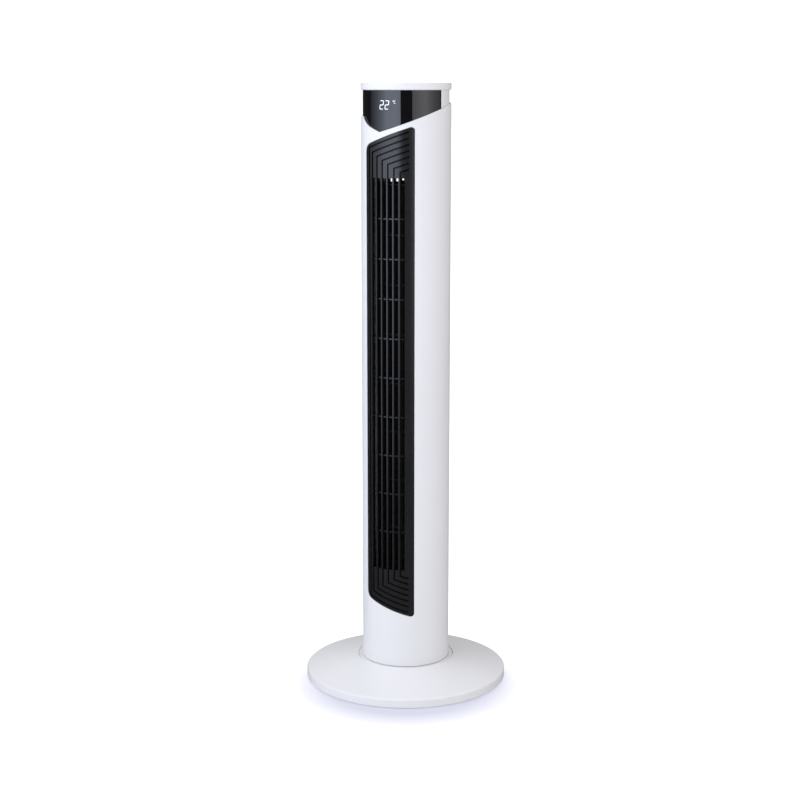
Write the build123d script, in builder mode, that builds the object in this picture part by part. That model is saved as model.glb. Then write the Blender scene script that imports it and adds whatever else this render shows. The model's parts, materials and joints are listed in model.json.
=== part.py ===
from build123d import *

import os
from math import acos, cos, hypot, pi, radians, sin, tan

# Tower fan: a slim cylindrical column that swings on a round base and blows through a slotted
# front grille. Frame: +Z up, origin at the centre of the base on the floor, front faces -Y.
# All lengths are millimetres. Every sub-part is modelled where it sits in the assembled fan and
# is written to its own STEP file.

# Column and shells
COLUMN_R = 67.0
WALL = 2.5
COLUMN_INNER_R = COLUMN_R - WALL
SHELL_BOTTOM = 34.0
FRONT_WRAP = 118.0  # the front shell reaches this far round each side, in degrees from the front
CUT_HEIGHT = 960.0  # any height above the fan
SEAM_GROOVE_R = 0.45
EDGE_ROUND = 0.8
OPENING_ROUND = 0.6

# Top edge of the shells: a plane rises to the right rear, and left of a notch a straight flank and
# then a hollow curve climb to a level shoulder
EDGE_Z = 861.7
EDGE_SLOPE_X = 0.296
EDGE_SLOPE_Y = 0.215
NOTCH_X = -12.1
NOTCH_Z = 843.8
FLANK_X = -30.0
FLANK_Z = 850.9
SHOULDER_X = -48.0
SHOULDER_Z = 866.4

# Head: recessed neck with the display window, and the cap
HEAD_R = 64.0
HEAD_HOOP_R = 61.5
HEAD_INNER_R = 60.0
HEAD_OVERLAP = 3.5  # how far the neck runs down behind the shells
HOOP_BOTTOM = 884.0
WINDOW_HALF_ANGLE = 78.0
CAP_BOTTOM = 904.0
CAP_TOP = 914.3
CAP_PLATE = 2.5
DECK_BOTTOM = 886.0
DECK_THICK = 3.0

# Front grille
GRILLE_HALF_ANGLE = 35.5
GRILLE_TOP_Z = 839.2
GRILLE_TOP_SLOPE = 0.365
GRILLE_BOTTOM_Z = 124.9
GRILLE_BOTTOM_SLOPE = -0.3316
GRILLE_LEFT_CORNER = 13.0
GRILLE_RIGHT_CORNER = 4.5
GRILLE_SKIN = 3.0
GRILLE_GAP = 0.3
GRILLE_LIP = 2.4
SLOT_BOTTOM = 187.0
SLOT_TOP = 778.0
SLOT_HALF_ANGLE = 24.0
SLOT_COUNT = 6
RIB_THICK = 2.0
RIB_DEPTH = 8.0
RIB_ROOT = 1.5  # how far the vertical ribs run on behind the solid ends of the grille
BAY_COUNT = 10
CROSS_RIB_THICK = 1.8
CROSS_RIB_SINK = 2.5
GROOVE_WIDTH = 2.4
GROOVE_DEPTH = 1.8
GROOVE_FIRST = 6.2
GROOVE_PITCH = 8.95
GROOVE_COUNT = 7
GROOVE_END_X = 32.0
OUTER_GROOVE_GAP = 3.9  # the outermost groove runs this far left of the first rib
INNER_GROOVE_GAP = 2.0  # the others run this far right of a rib
GROOVE_OVERRUN = 2.0

# Base
BASE_R = 155.0
BASE_BOTTOM = 1.5
CREASE_Z = 14.0
BASE_TOP = 33.2
BASE_WALL = 2.5
WELL_R = 74.4
DECK_TOP = 22.0
COLLAR_BORE_R = 18.0
COLLAR_R = 21.5
COLLAR_BOTTOM = 16.0
COLLAR_TOP = 26.0
FOOT_HEIGHT = 2.5
PLATE_TOP = 5.5
SCREW_COUNT = 6
SCREW_TURN = 30.0
BASE_SCREW_R = 118.0
BOSS_R = 4.0
BOSS_HEIGHT = 15.7
FOOT_COUNT = 6
FOOT_ORBIT = BASE_R - 17.0
FOOT_R = 9.0
FOOT_STEM_R = 2.5
GLAND_Z = 8.2
GLAND_R = 4.2
CORD_R = 3.4
GLIDE_R = 60.0
GLIDE_WIDTH = 8.0
GLIDE_GAP = 0.3

# Screws and their holes
SCREW_R = 1.5
SCREW_HOLE_R = 1.7
SCREW_HEAD_R = 3.4
SCREW_HEAD_HOLE_R = 3.7
SMALL_SCREW_R = 1.4
CROSS_LENGTH = 3.2
CROSS_WIDTH = 0.7

# Turntable and swing drive
TURNTABLE_R = 73.6
TURNTABLE_BOTTOM = 30.0
TURNTABLE_TOP = 33.0
HUB_R = 17.95
HUB_BORE_R = 13.5
HUB_BOTTOM = 15.5
RETAINER_R = 24.0
RETAINER_THICK = 2.0
RETAINER_SCREW_R = 1.0
RETAINER_SCREW_ORBIT = (HUB_R + HUB_BORE_R) / 2
RETAINER_SCREW_COUNT = 3
GEAR_MODULE = 1.5
PRESSURE_ANGLE = 25.0
DEDENDUM = 1.27  # root depth in modules
FLANK_STEPS = 4
RING_TEETH = 36
PINION_TEETH = 12
BACKLASH = 0.25
GEAR_CENTRES = GEAR_MODULE * (RING_TEETH + PINION_TEETH) / 2
GEAR_THICK = 4.5
PINION_THICK = 4.0
SWING_SHAFT_R = 3.0
SWING_SHAFT_HOLE_R = 5.0
SWING_MOTOR_R = 20.0
SWING_MOTOR_HEIGHT = 16.0
SWING_MOTOR_PLATE = 2.0
SWING_SCREW_REACH = 25.0
RUNNING_GAP = 0.05

# Foot of the column
FOOT_FLOOR_TOP = 36.5
FOOT_RIM_TOP = 46.0
FOOT_SCREW_REACH = 45.0
BOARD_Z = 60.0
BOARD_THICK = 1.6

# Air duct and impeller
DUCT_BOTTOM = 162.0
DUCT_PLATE = 3.0
DUCT_TOP = 780.0
DUCT_R = 62.3
IMPELLER_R = 42.0
BLADE_INNER_R = 33.5
BLADE_COUNT = 36
BLADE_LEAN = 6.6
SEGMENT_COUNT = 8
SEGMENT_HEIGHT = 74.2
DISC_THICK = 1.5
IMPELLER_BOTTOM = 173.0
IMPELLER_TOP = IMPELLER_BOTTOM + SEGMENT_COUNT * SEGMENT_HEIGHT
SHAFT_R = 4.0
SEGMENT_BORE_R = 12.0
STUB_R = 3.0

# Fan motor
MOTOR_R = 33.0
MOTOR_BOTTOM = 94.0
MOTOR_TOP = 152.0
DAMPER_ORBIT = 26.0
DAMPER_COUNT = 4
DAMPER_TURN = 45.0
MOTOR_PLATE = 2.5
COOLING_SLOTS = 20

# Controls on the cap
PANEL_R = 40.0
PANEL_DEPTH = 1.5
BUTTON_GAP = 0.4
FLANGE_GAP = 0.4  # gap between the cap's plate and a button's flange
FLANGE_THICK = 1.6
BUTTON_TRAVEL = 0.8
BUTTON_ORBIT = 24.0
POWER_BUTTON_R = 9.0
BUTTON_R = 6.6
SWITCH_TOP = 901.2
CONTROL_BOARD_Z = 897.0
DISPLAY_BOARD_Y = 49.0

# Rear housing
INLET_COLUMNS = 12
INLET_PITCH = 8.0
INLET_WIDTH = 4.4
INLET_HEIGHT = 52.0
POCKET_Z = 811.5
POCKET_HEIGHT = 33.0
POCKET_WIDTH = 72.0
POCKET_WALL = 2.0
POCKET_FRONT_Y = 40.0
POCKET_CORNER = 8.0
POCKET_CUT = 40.0
SHELL_BOSS_R = 55.0  # holes for the rear screws start this far from the axis
SHELL_SCREW_SINK = 1.4
SCREW_ANGLES = (62.0, 118.0)
SCREW_HEIGHTS = (41.5, 154.0, 790.0)

FRONT = -90.0
REAR = 90.0
FORWARD = (0, -1, 0)


def ring_sector(inner, outer, middle, half_angle):
    """Flat piece of a ring, centred on the direction middle, in degrees from +X."""
    with BuildSketch() as sector:
        with BuildLine():
            outer_arc = CenterArc((0, 0), outer, middle - half_angle, 2 * half_angle)
            inner_arc = CenterArc((0, 0), inner, middle - half_angle, 2 * half_angle)
            Line(outer_arc @ 0, inner_arc @ 0)
            Line(outer_arc @ 1, inner_arc @ 1)
        make_face()
    return sector.sketch


def gear_outline(teeth, backlash, turn):
    """Points round an involute spur gear, with one tooth centred on the direction turn, in degrees."""
    pitch_r = GEAR_MODULE * teeth / 2
    base_r = pitch_r * cos(radians(PRESSURE_ANGLE))
    tip_r = pitch_r + GEAR_MODULE
    root_r = pitch_r - DEDENDUM * GEAR_MODULE
    pitch_half = pi / (2 * teeth) - backlash / (2 * pitch_r)
    pitch_involute = tan(radians(PRESSURE_ANGLE)) - radians(PRESSURE_ANGLE)
    start_r = max(base_r, root_r)
    radii = [start_r + (tip_r - start_r) * step / FLANK_STEPS for step in range(FLANK_STEPS + 1)]
    if root_r < base_r:
        radii.insert(0, root_r)
    half_tooth = []
    for radius in radii:
        pressure = acos(base_r / max(radius, base_r))
        half_tooth.append((radius, pitch_half + pitch_involute - (tan(pressure) - pressure)))
    points = []
    for tooth in range(teeth):
        middle = radians(turn) + 2 * pi * tooth / teeth
        for radius, half in half_tooth:
            points.append((radius * cos(middle - half), radius * sin(middle - half)))
        for radius, half in reversed(half_tooth):
            points.append((radius * cos(middle + half), radius * sin(middle + half)))
    return points


def edge_keeper(drop):
    """Everything under the shells' top edge, lowered by drop."""
    reach = 2 * COLUMN_R
    notch = (NOTCH_X, NOTCH_Z - drop)
    flank_end = (FLANK_X, FLANK_Z - drop)
    shoulder = (SHOULDER_X, SHOULDER_Z - drop)
    dip = 30.0  # past the notch the curve runs down under the plane
    slanted_plane = Plane(
        origin=(0, 0, EDGE_Z - drop),
        x_dir=(1, 0, EDGE_SLOPE_X),
        z_dir=(-EDGE_SLOPE_X, -EDGE_SLOPE_Y, 1),
    )
    with BuildPart() as keeper:
        with BuildSketch(slanted_plane):
            Rectangle(2 * reach, 2 * reach)
        extrude(amount=EDGE_Z, dir=(0, 0, -1))
        with BuildSketch(Plane.XZ.offset(-reach)):
            with BuildLine():
                flank = Line(notch, flank_end)
                TangentArc(flank_end, shoulder, tangent=flank % 1)
                Polyline(
                    shoulder,
                    (-reach, SHOULDER_Z - drop),
                    (-reach, NOTCH_Z / 2),
                    (NOTCH_X + 2 * dip, NOTCH_Z / 2),
                    (NOTCH_X + 2 * dip, NOTCH_Z - drop - dip),
                    notch,
                )
            make_face()
        extrude(amount=2 * reach)
    return keeper.part


def grille_corners(grow):
    """Corners of the grille outline seen from the front, grown outwards by grow."""
    half_x = COLUMN_R * sin(radians(GRILLE_HALF_ANGLE)) + grow
    top = GRILLE_TOP_Z + grow
    bottom = GRILLE_BOTTOM_Z - grow
    return [
        (-half_x, top - GRILLE_TOP_SLOPE * half_x),
        (half_x, top + GRILLE_TOP_SLOPE * half_x),
        (half_x, bottom + GRILLE_BOTTOM_SLOPE * half_x),
        (-half_x, bottom - GRILLE_BOTTOM_SLOPE * half_x),
    ]


def grille_face(grow):
    """Grille outline with its rounded corners, on the front plane."""
    with BuildSketch(Plane.XZ) as outline:
        with BuildLine():
            Polyline(*grille_corners(grow), close=True)
        make_face()
        fillet(outline.vertices().group_by(Axis.X)[0], GRILLE_LEFT_CORNER + grow)
        fillet(outline.vertices().group_by(Axis.X)[-1], GRILLE_RIGHT_CORNER + grow)
    return outline.sketch


def slot_edge_x(index):
    """Middle of vertical grille rib number index, counted from the left."""
    angle = -SLOT_HALF_ANGLE + 2 * SLOT_HALF_ANGLE * index / SLOT_COUNT
    return COLUMN_R * sin(radians(angle))


def radial_plane(angle, radius, height):
    """Plane that faces outwards from the column's axis."""
    direction = (cos(radians(angle)), sin(radians(angle)), 0)
    origin = (radius * direction[0], radius * direction[1], height)
    return Plane(origin=origin, x_dir=(-direction[1], direction[0], 0), z_dir=direction)


def on_column(edge):
    """Whether an edge runs all the way on the column's outer surface."""
    points = [edge @ (step / 4) for step in range(5)]
    return all(abs(hypot(point.X, point.Y) - COLUMN_R) < 0.02 for point in points)


def shell_rim(edges):
    """Outer edges of a shell's slanted top."""
    return edges.filter_by(on_column).filter_by(lambda edge: edge.bounding_box().min.Z > NOTCH_Z - 1)


def opening_rim(edges):
    """Outer edges of the front shell's grille opening."""
    highest = GRILLE_TOP_Z + GRILLE_TOP_SLOPE * COLUMN_R
    return edges.filter_by(on_column).filter_by(
        lambda edge: edge.bounding_box().min.Z > SHELL_BOTTOM + 1 and edge.bounding_box().max.Z < highest
    )


def save(part, name):
    part.label = name
    export_step(part, f"parts/{name}.step")


os.makedirs("parts", exist_ok=True)

shell_keeper = edge_keeper(0.0)
neck_cutter = edge_keeper(HEAD_OVERLAP)
window_cutter = edge_keeper(HEAD_OVERLAP - 0.5)

# ---------------------------------------------------------------- base

with BuildPart() as base_cover:
    with BuildSketch(Plane.XZ) as cover_profile:
        cone_drop = (BASE_TOP - CREASE_Z) / (BASE_R - WELL_R)
        well_out_r = WELL_R + BASE_WALL
        rim_in_r = BASE_R - BASE_WALL
        with BuildLine():
            Polyline(
                (BASE_R, BASE_BOTTOM),
                (BASE_R, CREASE_Z),
                (WELL_R, BASE_TOP),
                (WELL_R, DECK_TOP),
                (COLLAR_R, DECK_TOP),
                (COLLAR_R, COLLAR_TOP),
                (COLLAR_BORE_R, COLLAR_TOP),
                (COLLAR_BORE_R, COLLAR_BOTTOM),
                (COLLAR_R, COLLAR_BOTTOM),
                (COLLAR_R, DECK_TOP - BASE_WALL),
                (well_out_r, DECK_TOP - BASE_WALL),
                (well_out_r, BASE_TOP - cone_drop * BASE_WALL - BASE_WALL),
                (rim_in_r, CREASE_Z + cone_drop * BASE_WALL - BASE_WALL),
                (rim_in_r, BASE_BOTTOM),
                close=True,
            )
        make_face()
        crease = cover_profile.vertices().filter_by_position(Axis.X, BASE_R - 0.1, BASE_R + 0.1)
        fillet(crease.sort_by(Axis.Z)[-1], 2.5)
        lip = cover_profile.vertices().filter_by_position(Axis.X, WELL_R - 0.1, WELL_R + 0.1)
        fillet(lip.sort_by(Axis.Z)[-1], 0.6)
    revolve(axis=Axis.Z)
    with BuildSketch(Plane.XY.offset(PLATE_TOP)):
        with PolarLocations(BASE_SCREW_R, SCREW_COUNT, start_angle=SCREW_TURN):
            Circle(BOSS_R)
    extrude(amount=BOSS_HEIGHT)
    with BuildSketch(Plane.XY.offset(PLATE_TOP)):
        with PolarLocations(BASE_SCREW_R, SCREW_COUNT, start_angle=SCREW_TURN):
            Circle(SCREW_R)
    extrude(amount=10, mode=Mode.SUBTRACT)
    with BuildSketch(Plane.XZ.offset(-BASE_R - 5)):
        with Locations((0, GLAND_Z)):
            Circle(GLAND_R)
    extrude(amount=12, mode=Mode.SUBTRACT)
save(base_cover.part, "base_cover")

with BuildPart() as base_plate:
    with BuildSketch(Plane.XY.offset(FOOT_HEIGHT)):
        Circle(rim_in_r - 0.5)
        with Locations((0, rim_in_r)):
            Rectangle(14, 14, mode=Mode.SUBTRACT)
        with PolarLocations(BASE_SCREW_R, SCREW_COUNT, start_angle=SCREW_TURN):
            Circle(SCREW_HOLE_R, mode=Mode.SUBTRACT)
        with PolarLocations(FOOT_ORBIT, FOOT_COUNT):
            Circle(FOOT_STEM_R, mode=Mode.SUBTRACT)
    extrude(amount=PLATE_TOP - FOOT_HEIGHT)
    with BuildSketch(Plane.XY.offset(FOOT_HEIGHT)):
        with PolarLocations(BASE_SCREW_R, SCREW_COUNT, start_angle=SCREW_TURN):
            Circle(SCREW_HEAD_HOLE_R)
    extrude(amount=1.5, mode=Mode.SUBTRACT)
save(base_plate.part, "base_plate")

with BuildPart() as rubber_feet:
    with BuildSketch():
        with PolarLocations(FOOT_ORBIT, FOOT_COUNT):
            Circle(FOOT_R)
    extrude(amount=FOOT_HEIGHT)
    chamfer(rubber_feet.edges().group_by(Axis.Z)[0], 0.6)
    with BuildSketch(Plane.XY.offset(FOOT_HEIGHT)):
        with PolarLocations(FOOT_ORBIT, FOOT_COUNT):
            Circle(FOOT_STEM_R)
    extrude(amount=PLATE_TOP - FOOT_HEIGHT)
save(rubber_feet.part, "rubber_feet")

with BuildPart() as base_screws:
    with BuildSketch(Plane.XY.offset(FOOT_HEIGHT + 0.1)):
        with PolarLocations(BASE_SCREW_R, SCREW_COUNT, start_angle=SCREW_TURN):
            Circle(SCREW_HEAD_R)
    extrude(amount=1.4)
    with BuildSketch(Plane.XY.offset(FOOT_HEIGHT + 1.5)):
        with PolarLocations(BASE_SCREW_R, SCREW_COUNT, start_angle=SCREW_TURN):
            Circle(SCREW_R)
    extrude(amount=9.5)
    with BuildSketch(Plane.XY.offset(FOOT_HEIGHT + 0.1)):
        with PolarLocations(BASE_SCREW_R, SCREW_COUNT, start_angle=SCREW_TURN):
            Rectangle(CROSS_LENGTH, CROSS_WIDTH)
            Rectangle(CROSS_WIDTH, CROSS_LENGTH)
    extrude(amount=0.8, mode=Mode.SUBTRACT)
save(base_screws.part, "base_screws")

with BuildPart() as cord_gland:
    with BuildSketch(Plane.XZ.offset(-BASE_R + 0.2)):
        with Locations((0, GLAND_Z)):
            Circle(GLAND_R)
            Circle(CORD_R, mode=Mode.SUBTRACT)
    extrude(amount=8)
save(cord_gland.part, "cord_gland")

with BuildPart() as glide_ring:
    with BuildSketch(Plane.XY.offset(DECK_TOP)):
        Circle(GLIDE_R + GLIDE_WIDTH / 2)
        Circle(GLIDE_R - GLIDE_WIDTH / 2, mode=Mode.SUBTRACT)
    extrude(amount=TURNTABLE_BOTTOM - DECK_TOP - GLIDE_GAP)
    with BuildSketch(Plane.XY.offset(TURNTABLE_BOTTOM - 2)):
        with PolarLocations(GLIDE_R, 12):
            Rectangle(GLIDE_WIDTH + 2, 1.6)
    extrude(amount=2, mode=Mode.SUBTRACT)
save(glide_ring.part, "glide_ring")

pinion_spot = (0.0, GEAR_CENTRES)

with BuildPart() as fixed_gear:
    with BuildSketch(Plane.XY.offset(DECK_TOP)):
        with BuildLine():
            Polyline(*gear_outline(RING_TEETH, BACKLASH, REAR), close=True)
        make_face()
        Circle(COLLAR_R, mode=Mode.SUBTRACT)
    extrude(amount=GEAR_THICK)
save(fixed_gear.part, "fixed_gear")

# ---------------------------------------------------------------- swing drive

foot_screw_spots = [(-FOOT_SCREW_REACH, 0), (FOOT_SCREW_REACH, 0), (0, -FOOT_SCREW_REACH)]
swing_screw_spots = [(-SWING_SCREW_REACH, GEAR_CENTRES), (SWING_SCREW_REACH, GEAR_CENTRES)]

with BuildPart() as turntable:
    with BuildSketch(Plane.XY.offset(TURNTABLE_BOTTOM)):
        Circle(TURNTABLE_R)
        with Locations(pinion_spot):
            Circle(SWING_SHAFT_HOLE_R, mode=Mode.SUBTRACT)
        with Locations(*foot_screw_spots):
            Circle(SCREW_HOLE_R, mode=Mode.SUBTRACT)
    extrude(amount=TURNTABLE_TOP - TURNTABLE_BOTTOM)
    rim_edge = turntable.edges().filter_by(GeomType.CIRCLE).sort_by(SortBy.RADIUS)[-2:]
    fillet(rim_edge.sort_by(Axis.Z)[-1], 0.6)
    with BuildSketch(Plane.XY.offset(HUB_BOTTOM)):
        Circle(HUB_R)
    extrude(amount=TURNTABLE_BOTTOM - HUB_BOTTOM)
    with BuildSketch(Plane.XY.offset(HUB_BOTTOM)):
        Circle(HUB_BORE_R)
    extrude(amount=TURNTABLE_TOP - HUB_BOTTOM, mode=Mode.SUBTRACT)
    with BuildSketch(Plane.XY.offset(HUB_BOTTOM)):
        with PolarLocations(RETAINER_SCREW_ORBIT, RETAINER_SCREW_COUNT):
            Circle(RETAINER_SCREW_R)
    extrude(amount=8, mode=Mode.SUBTRACT)
    with BuildSketch(Plane.XY.offset(TURNTABLE_BOTTOM)):
        with Locations(*foot_screw_spots):
            Circle(SCREW_HEAD_R)
    extrude(amount=1.2, mode=Mode.SUBTRACT)
save(turntable.part, "turntable")

with BuildPart() as retaining_ring:
    with BuildSketch(Plane.XY.offset(HUB_BOTTOM - RETAINER_THICK)):
        Circle(RETAINER_R)
        Circle(HUB_BORE_R, mode=Mode.SUBTRACT)
        with PolarLocations(RETAINER_SCREW_ORBIT, RETAINER_SCREW_COUNT):
            Circle(RETAINER_SCREW_R + 0.2, mode=Mode.SUBTRACT)
    extrude(amount=RETAINER_THICK)
save(retaining_ring.part, "retaining_ring")

with BuildPart() as retaining_screws:
    with BuildSketch(Plane.XY.offset(HUB_BOTTOM - RETAINER_THICK - 1.4)):
        with PolarLocations(RETAINER_SCREW_ORBIT, RETAINER_SCREW_COUNT):
            Circle(RETAINER_SCREW_R + 0.9)
    extrude(amount=1.4)
    with BuildSketch(Plane.XY.offset(HUB_BOTTOM - RETAINER_THICK)):
        with PolarLocations(RETAINER_SCREW_ORBIT, RETAINER_SCREW_COUNT):
            Circle(RETAINER_SCREW_R)
    extrude(amount=9)
save(retaining_screws.part, "retaining_screws")

with BuildPart() as column_foot:
    with BuildSketch(Plane.XY.offset(TURNTABLE_TOP)):
        Circle(COLUMN_INNER_R)
    extrude(amount=FOOT_FLOOR_TOP - TURNTABLE_TOP)
    with BuildSketch(Plane.XY.offset(FOOT_FLOOR_TOP)):
        Circle(COLUMN_INNER_R)
        Circle(COLUMN_INNER_R - WALL, mode=Mode.SUBTRACT)
    extrude(amount=FOOT_RIM_TOP - FOOT_FLOOR_TOP)
    with BuildSketch(Plane.XY.offset(FOOT_FLOOR_TOP)):
        with Locations((-26, -48), (26, -48), (-26, -12), (26, -12)):
            Circle(3)
    extrude(amount=BOARD_Z - FOOT_FLOOR_TOP)
    with BuildSketch(Plane.XY.offset(FOOT_FLOOR_TOP)):
        with Locations(*foot_screw_spots):
            Circle(4)
    extrude(amount=8)
    with BuildSketch(Plane.XY.offset(TURNTABLE_TOP)):
        Circle(HUB_BORE_R)
        with Locations(pinion_spot):
            Circle(SWING_SHAFT_HOLE_R)
    extrude(amount=FOOT_FLOOR_TOP - TURNTABLE_TOP, mode=Mode.SUBTRACT)
    with BuildSketch(Plane.XY.offset(TURNTABLE_TOP)):
        with Locations(*foot_screw_spots, *swing_screw_spots):
            Circle(SCREW_R)
    extrude(amount=10, mode=Mode.SUBTRACT)
    for angle in SCREW_ANGLES:
        with BuildSketch(radial_plane(angle, SHELL_BOSS_R, SCREW_HEIGHTS[0])):
            Circle(SMALL_SCREW_R)
        extrude(amount=15, mode=Mode.SUBTRACT)
save(column_foot.part, "column_foot")

with BuildPart() as swing_motor:
    with BuildSketch(Plane.XY.offset(FOOT_FLOOR_TOP)):
        with Locations(pinion_spot):
            Circle(SWING_MOTOR_R)
            Rectangle(2 * SWING_SCREW_REACH + 8, 7)
    extrude(amount=SWING_MOTOR_PLATE)
    with BuildSketch(Plane.XY.offset(FOOT_FLOOR_TOP + SWING_MOTOR_PLATE)):
        with Locations(pinion_spot):
            Circle(SWING_MOTOR_R)
    extrude(amount=SWING_MOTOR_HEIGHT - SWING_MOTOR_PLATE)
    fillet(swing_motor.edges().group_by(Axis.Z)[-1], 1.5)
    with BuildSketch(Plane.XY.offset(FOOT_FLOOR_TOP)):
        with Locations(pinion_spot):
            Circle(SWING_SHAFT_R + RUNNING_GAP)
    extrude(amount=12, mode=Mode.SUBTRACT)
    with BuildSketch(Plane.XY.offset(FOOT_FLOOR_TOP)):
        with Locations(*swing_screw_spots):
            Circle(SCREW_R)
    extrude(amount=SWING_MOTOR_PLATE, mode=Mode.SUBTRACT)
save(swing_motor.part, "swing_motor")

with BuildPart() as drive_screws:
    with BuildSketch(Plane.XY.offset(TURNTABLE_BOTTOM)):
        with Locations(*foot_screw_spots):
            Circle(3.0)
    extrude(amount=1.2)
    with BuildSketch(Plane.XY.offset(TURNTABLE_BOTTOM + 1.2)):
        with Locations(*foot_screw_spots):
            Circle(SCREW_R)
    extrude(amount=11)
    with BuildSketch(Plane.XY.offset(FOOT_FLOOR_TOP + SWING_MOTOR_PLATE)):
        with Locations(*swing_screw_spots):
            Circle(3.0)
    extrude(amount=1.2)
    with BuildSketch(Plane.XY.offset(TURNTABLE_TOP + 0.5)):
        with Locations(*swing_screw_spots):
            Circle(SCREW_R)
    extrude(amount=FOOT_FLOOR_TOP + 1.5 - TURNTABLE_TOP)
save(drive_screws.part, "drive_screws")

with BuildPart() as swing_shaft:
    with BuildSketch(Plane.XY.offset(DECK_TOP + 0.5)):
        with Locations(pinion_spot):
            Circle(SWING_SHAFT_R)
    extrude(amount=FOOT_FLOOR_TOP + 11 - DECK_TOP - 0.5)
save(swing_shaft.part, "swing_shaft")

pinion_turn = REAR + 180.0 + 180.0 / PINION_TEETH

with BuildPart() as swing_pinion:
    with BuildSketch(Plane.XY.offset(DECK_TOP + 0.5)):
        with BuildLine():
            pinion_points = [
                (x, GEAR_CENTRES + y)
                for x, y in gear_outline(PINION_TEETH, BACKLASH, pinion_turn)
            ]
            Polyline(*pinion_points, close=True)
        make_face()
        with Locations(pinion_spot):
            Circle(SWING_SHAFT_R, mode=Mode.SUBTRACT)
    extrude(amount=PINION_THICK)
save(swing_pinion.part, "swing_pinion")

# ---------------------------------------------------------------- housings

seam_angles = (FRONT - FRONT_WRAP, FRONT + FRONT_WRAP)
seam_spots = [(COLUMN_R * cos(radians(angle)), COLUMN_R * sin(radians(angle))) for angle in seam_angles]

with BuildPart() as seam_grooves:
    with BuildSketch():
        with Locations(*seam_spots):
            Circle(SEAM_GROOVE_R)
    extrude(amount=CUT_HEIGHT)

with BuildPart() as front_housing:
    with BuildSketch(Plane.XY.offset(SHELL_BOTTOM)):
        add(ring_sector(COLUMN_INNER_R, COLUMN_R, FRONT, FRONT_WRAP))
    extrude(amount=CUT_HEIGHT - SHELL_BOTTOM)
    add(shell_keeper, mode=Mode.INTERSECT)
    fillet(shell_rim(front_housing.edges()), EDGE_ROUND)
    extrude(grille_face(0.0), amount=COLUMN_R + 10, dir=FORWARD, mode=Mode.SUBTRACT)
    fillet(opening_rim(front_housing.edges()), OPENING_ROUND)
    add(seam_grooves.part, mode=Mode.SUBTRACT)
save(front_housing.part, "front_housing")

with BuildPart() as inlet_slots:
    first_inlet = REAR - INLET_PITCH * (INLET_COLUMNS - 1) / 2
    bay = (SLOT_TOP - SLOT_BOTTOM) / BAY_COUNT
    for column in range(INLET_COLUMNS):
        for row in range(BAY_COUNT):
            middle_z = SLOT_BOTTOM + bay * (row + 0.5)
            with BuildSketch(radial_plane(first_inlet + INLET_PITCH * column, SHELL_BOSS_R, middle_z)):
                SlotOverall(INLET_HEIGHT, INLET_WIDTH, rotation=90)
            extrude(amount=20)

with BuildPart() as rear_housing:
    with BuildSketch(Plane.XY.offset(SHELL_BOTTOM)):
        add(ring_sector(COLUMN_INNER_R, COLUMN_R, REAR, 180.0 - FRONT_WRAP))
    extrude(amount=CUT_HEIGHT - SHELL_BOTTOM)
    add(shell_keeper, mode=Mode.INTERSECT)
    fillet(shell_rim(rear_housing.edges()), EDGE_ROUND)
    add(inlet_slots.part, mode=Mode.SUBTRACT)
    add(seam_grooves.part, mode=Mode.SUBTRACT)
    with BuildSketch(Plane.XZ.offset(-POCKET_FRONT_Y)):
        with Locations((0, POCKET_Z)):
            RectangleRounded(POCKET_WIDTH, POCKET_HEIGHT, POCKET_CORNER)
    extrude(amount=-POCKET_CUT, mode=Mode.SUBTRACT)
    for angle in SCREW_ANGLES:
        for height in SCREW_HEIGHTS:
            with BuildSketch(radial_plane(angle, SHELL_BOSS_R, height)):
                Circle(SMALL_SCREW_R)
            extrude(amount=15, mode=Mode.SUBTRACT)
            with BuildSketch(radial_plane(angle, COLUMN_R - SHELL_SCREW_SINK, height)):
                Circle(3.1)
            extrude(amount=5, mode=Mode.SUBTRACT)
save(rear_housing.part, "rear_housing")

with BuildPart() as housing_screws:
    for angle in SCREW_ANGLES:
        for height in SCREW_HEIGHTS:
            with BuildSketch(radial_plane(angle, COLUMN_R - SHELL_SCREW_SINK, height)):
                Circle(2.9)
            extrude(amount=1.1)
            with BuildSketch(radial_plane(angle, SHELL_BOSS_R + 2, height)):
                Circle(SMALL_SCREW_R)
            extrude(amount=COLUMN_R - SHELL_SCREW_SINK - SHELL_BOSS_R - 2)
            with BuildSketch(radial_plane(angle, COLUMN_R - 1.0, height)):
                Rectangle(CROSS_LENGTH, CROSS_WIDTH)
                Rectangle(CROSS_WIDTH, CROSS_LENGTH)
            extrude(amount=2, mode=Mode.SUBTRACT)
save(housing_screws.part, "housing_screws")

with BuildPart() as handle_pocket:
    with BuildSketch(Plane.XZ.offset(-POCKET_FRONT_Y)):
        with Locations((0, POCKET_Z)):
            RectangleRounded(POCKET_WIDTH, POCKET_HEIGHT, POCKET_CORNER)
    extrude(amount=-(COLUMN_R - POCKET_FRONT_Y))
    with BuildSketch(Plane.XZ.offset(-POCKET_FRONT_Y - POCKET_WALL)):
        with Locations((0, POCKET_Z)):
            RectangleRounded(
                POCKET_WIDTH - 2 * POCKET_WALL,
                POCKET_HEIGHT - 2 * POCKET_WALL,
                POCKET_CORNER - POCKET_WALL,
            )
    extrude(amount=-POCKET_CUT, mode=Mode.SUBTRACT)
    with BuildSketch(Plane.XY.offset(POCKET_Z - POCKET_HEIGHT)):
        Circle(COLUMN_R)
    extrude(amount=2 * POCKET_HEIGHT, mode=Mode.INTERSECT)
save(handle_pocket.part, "handle_pocket")

# ---------------------------------------------------------------- front grille

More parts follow.
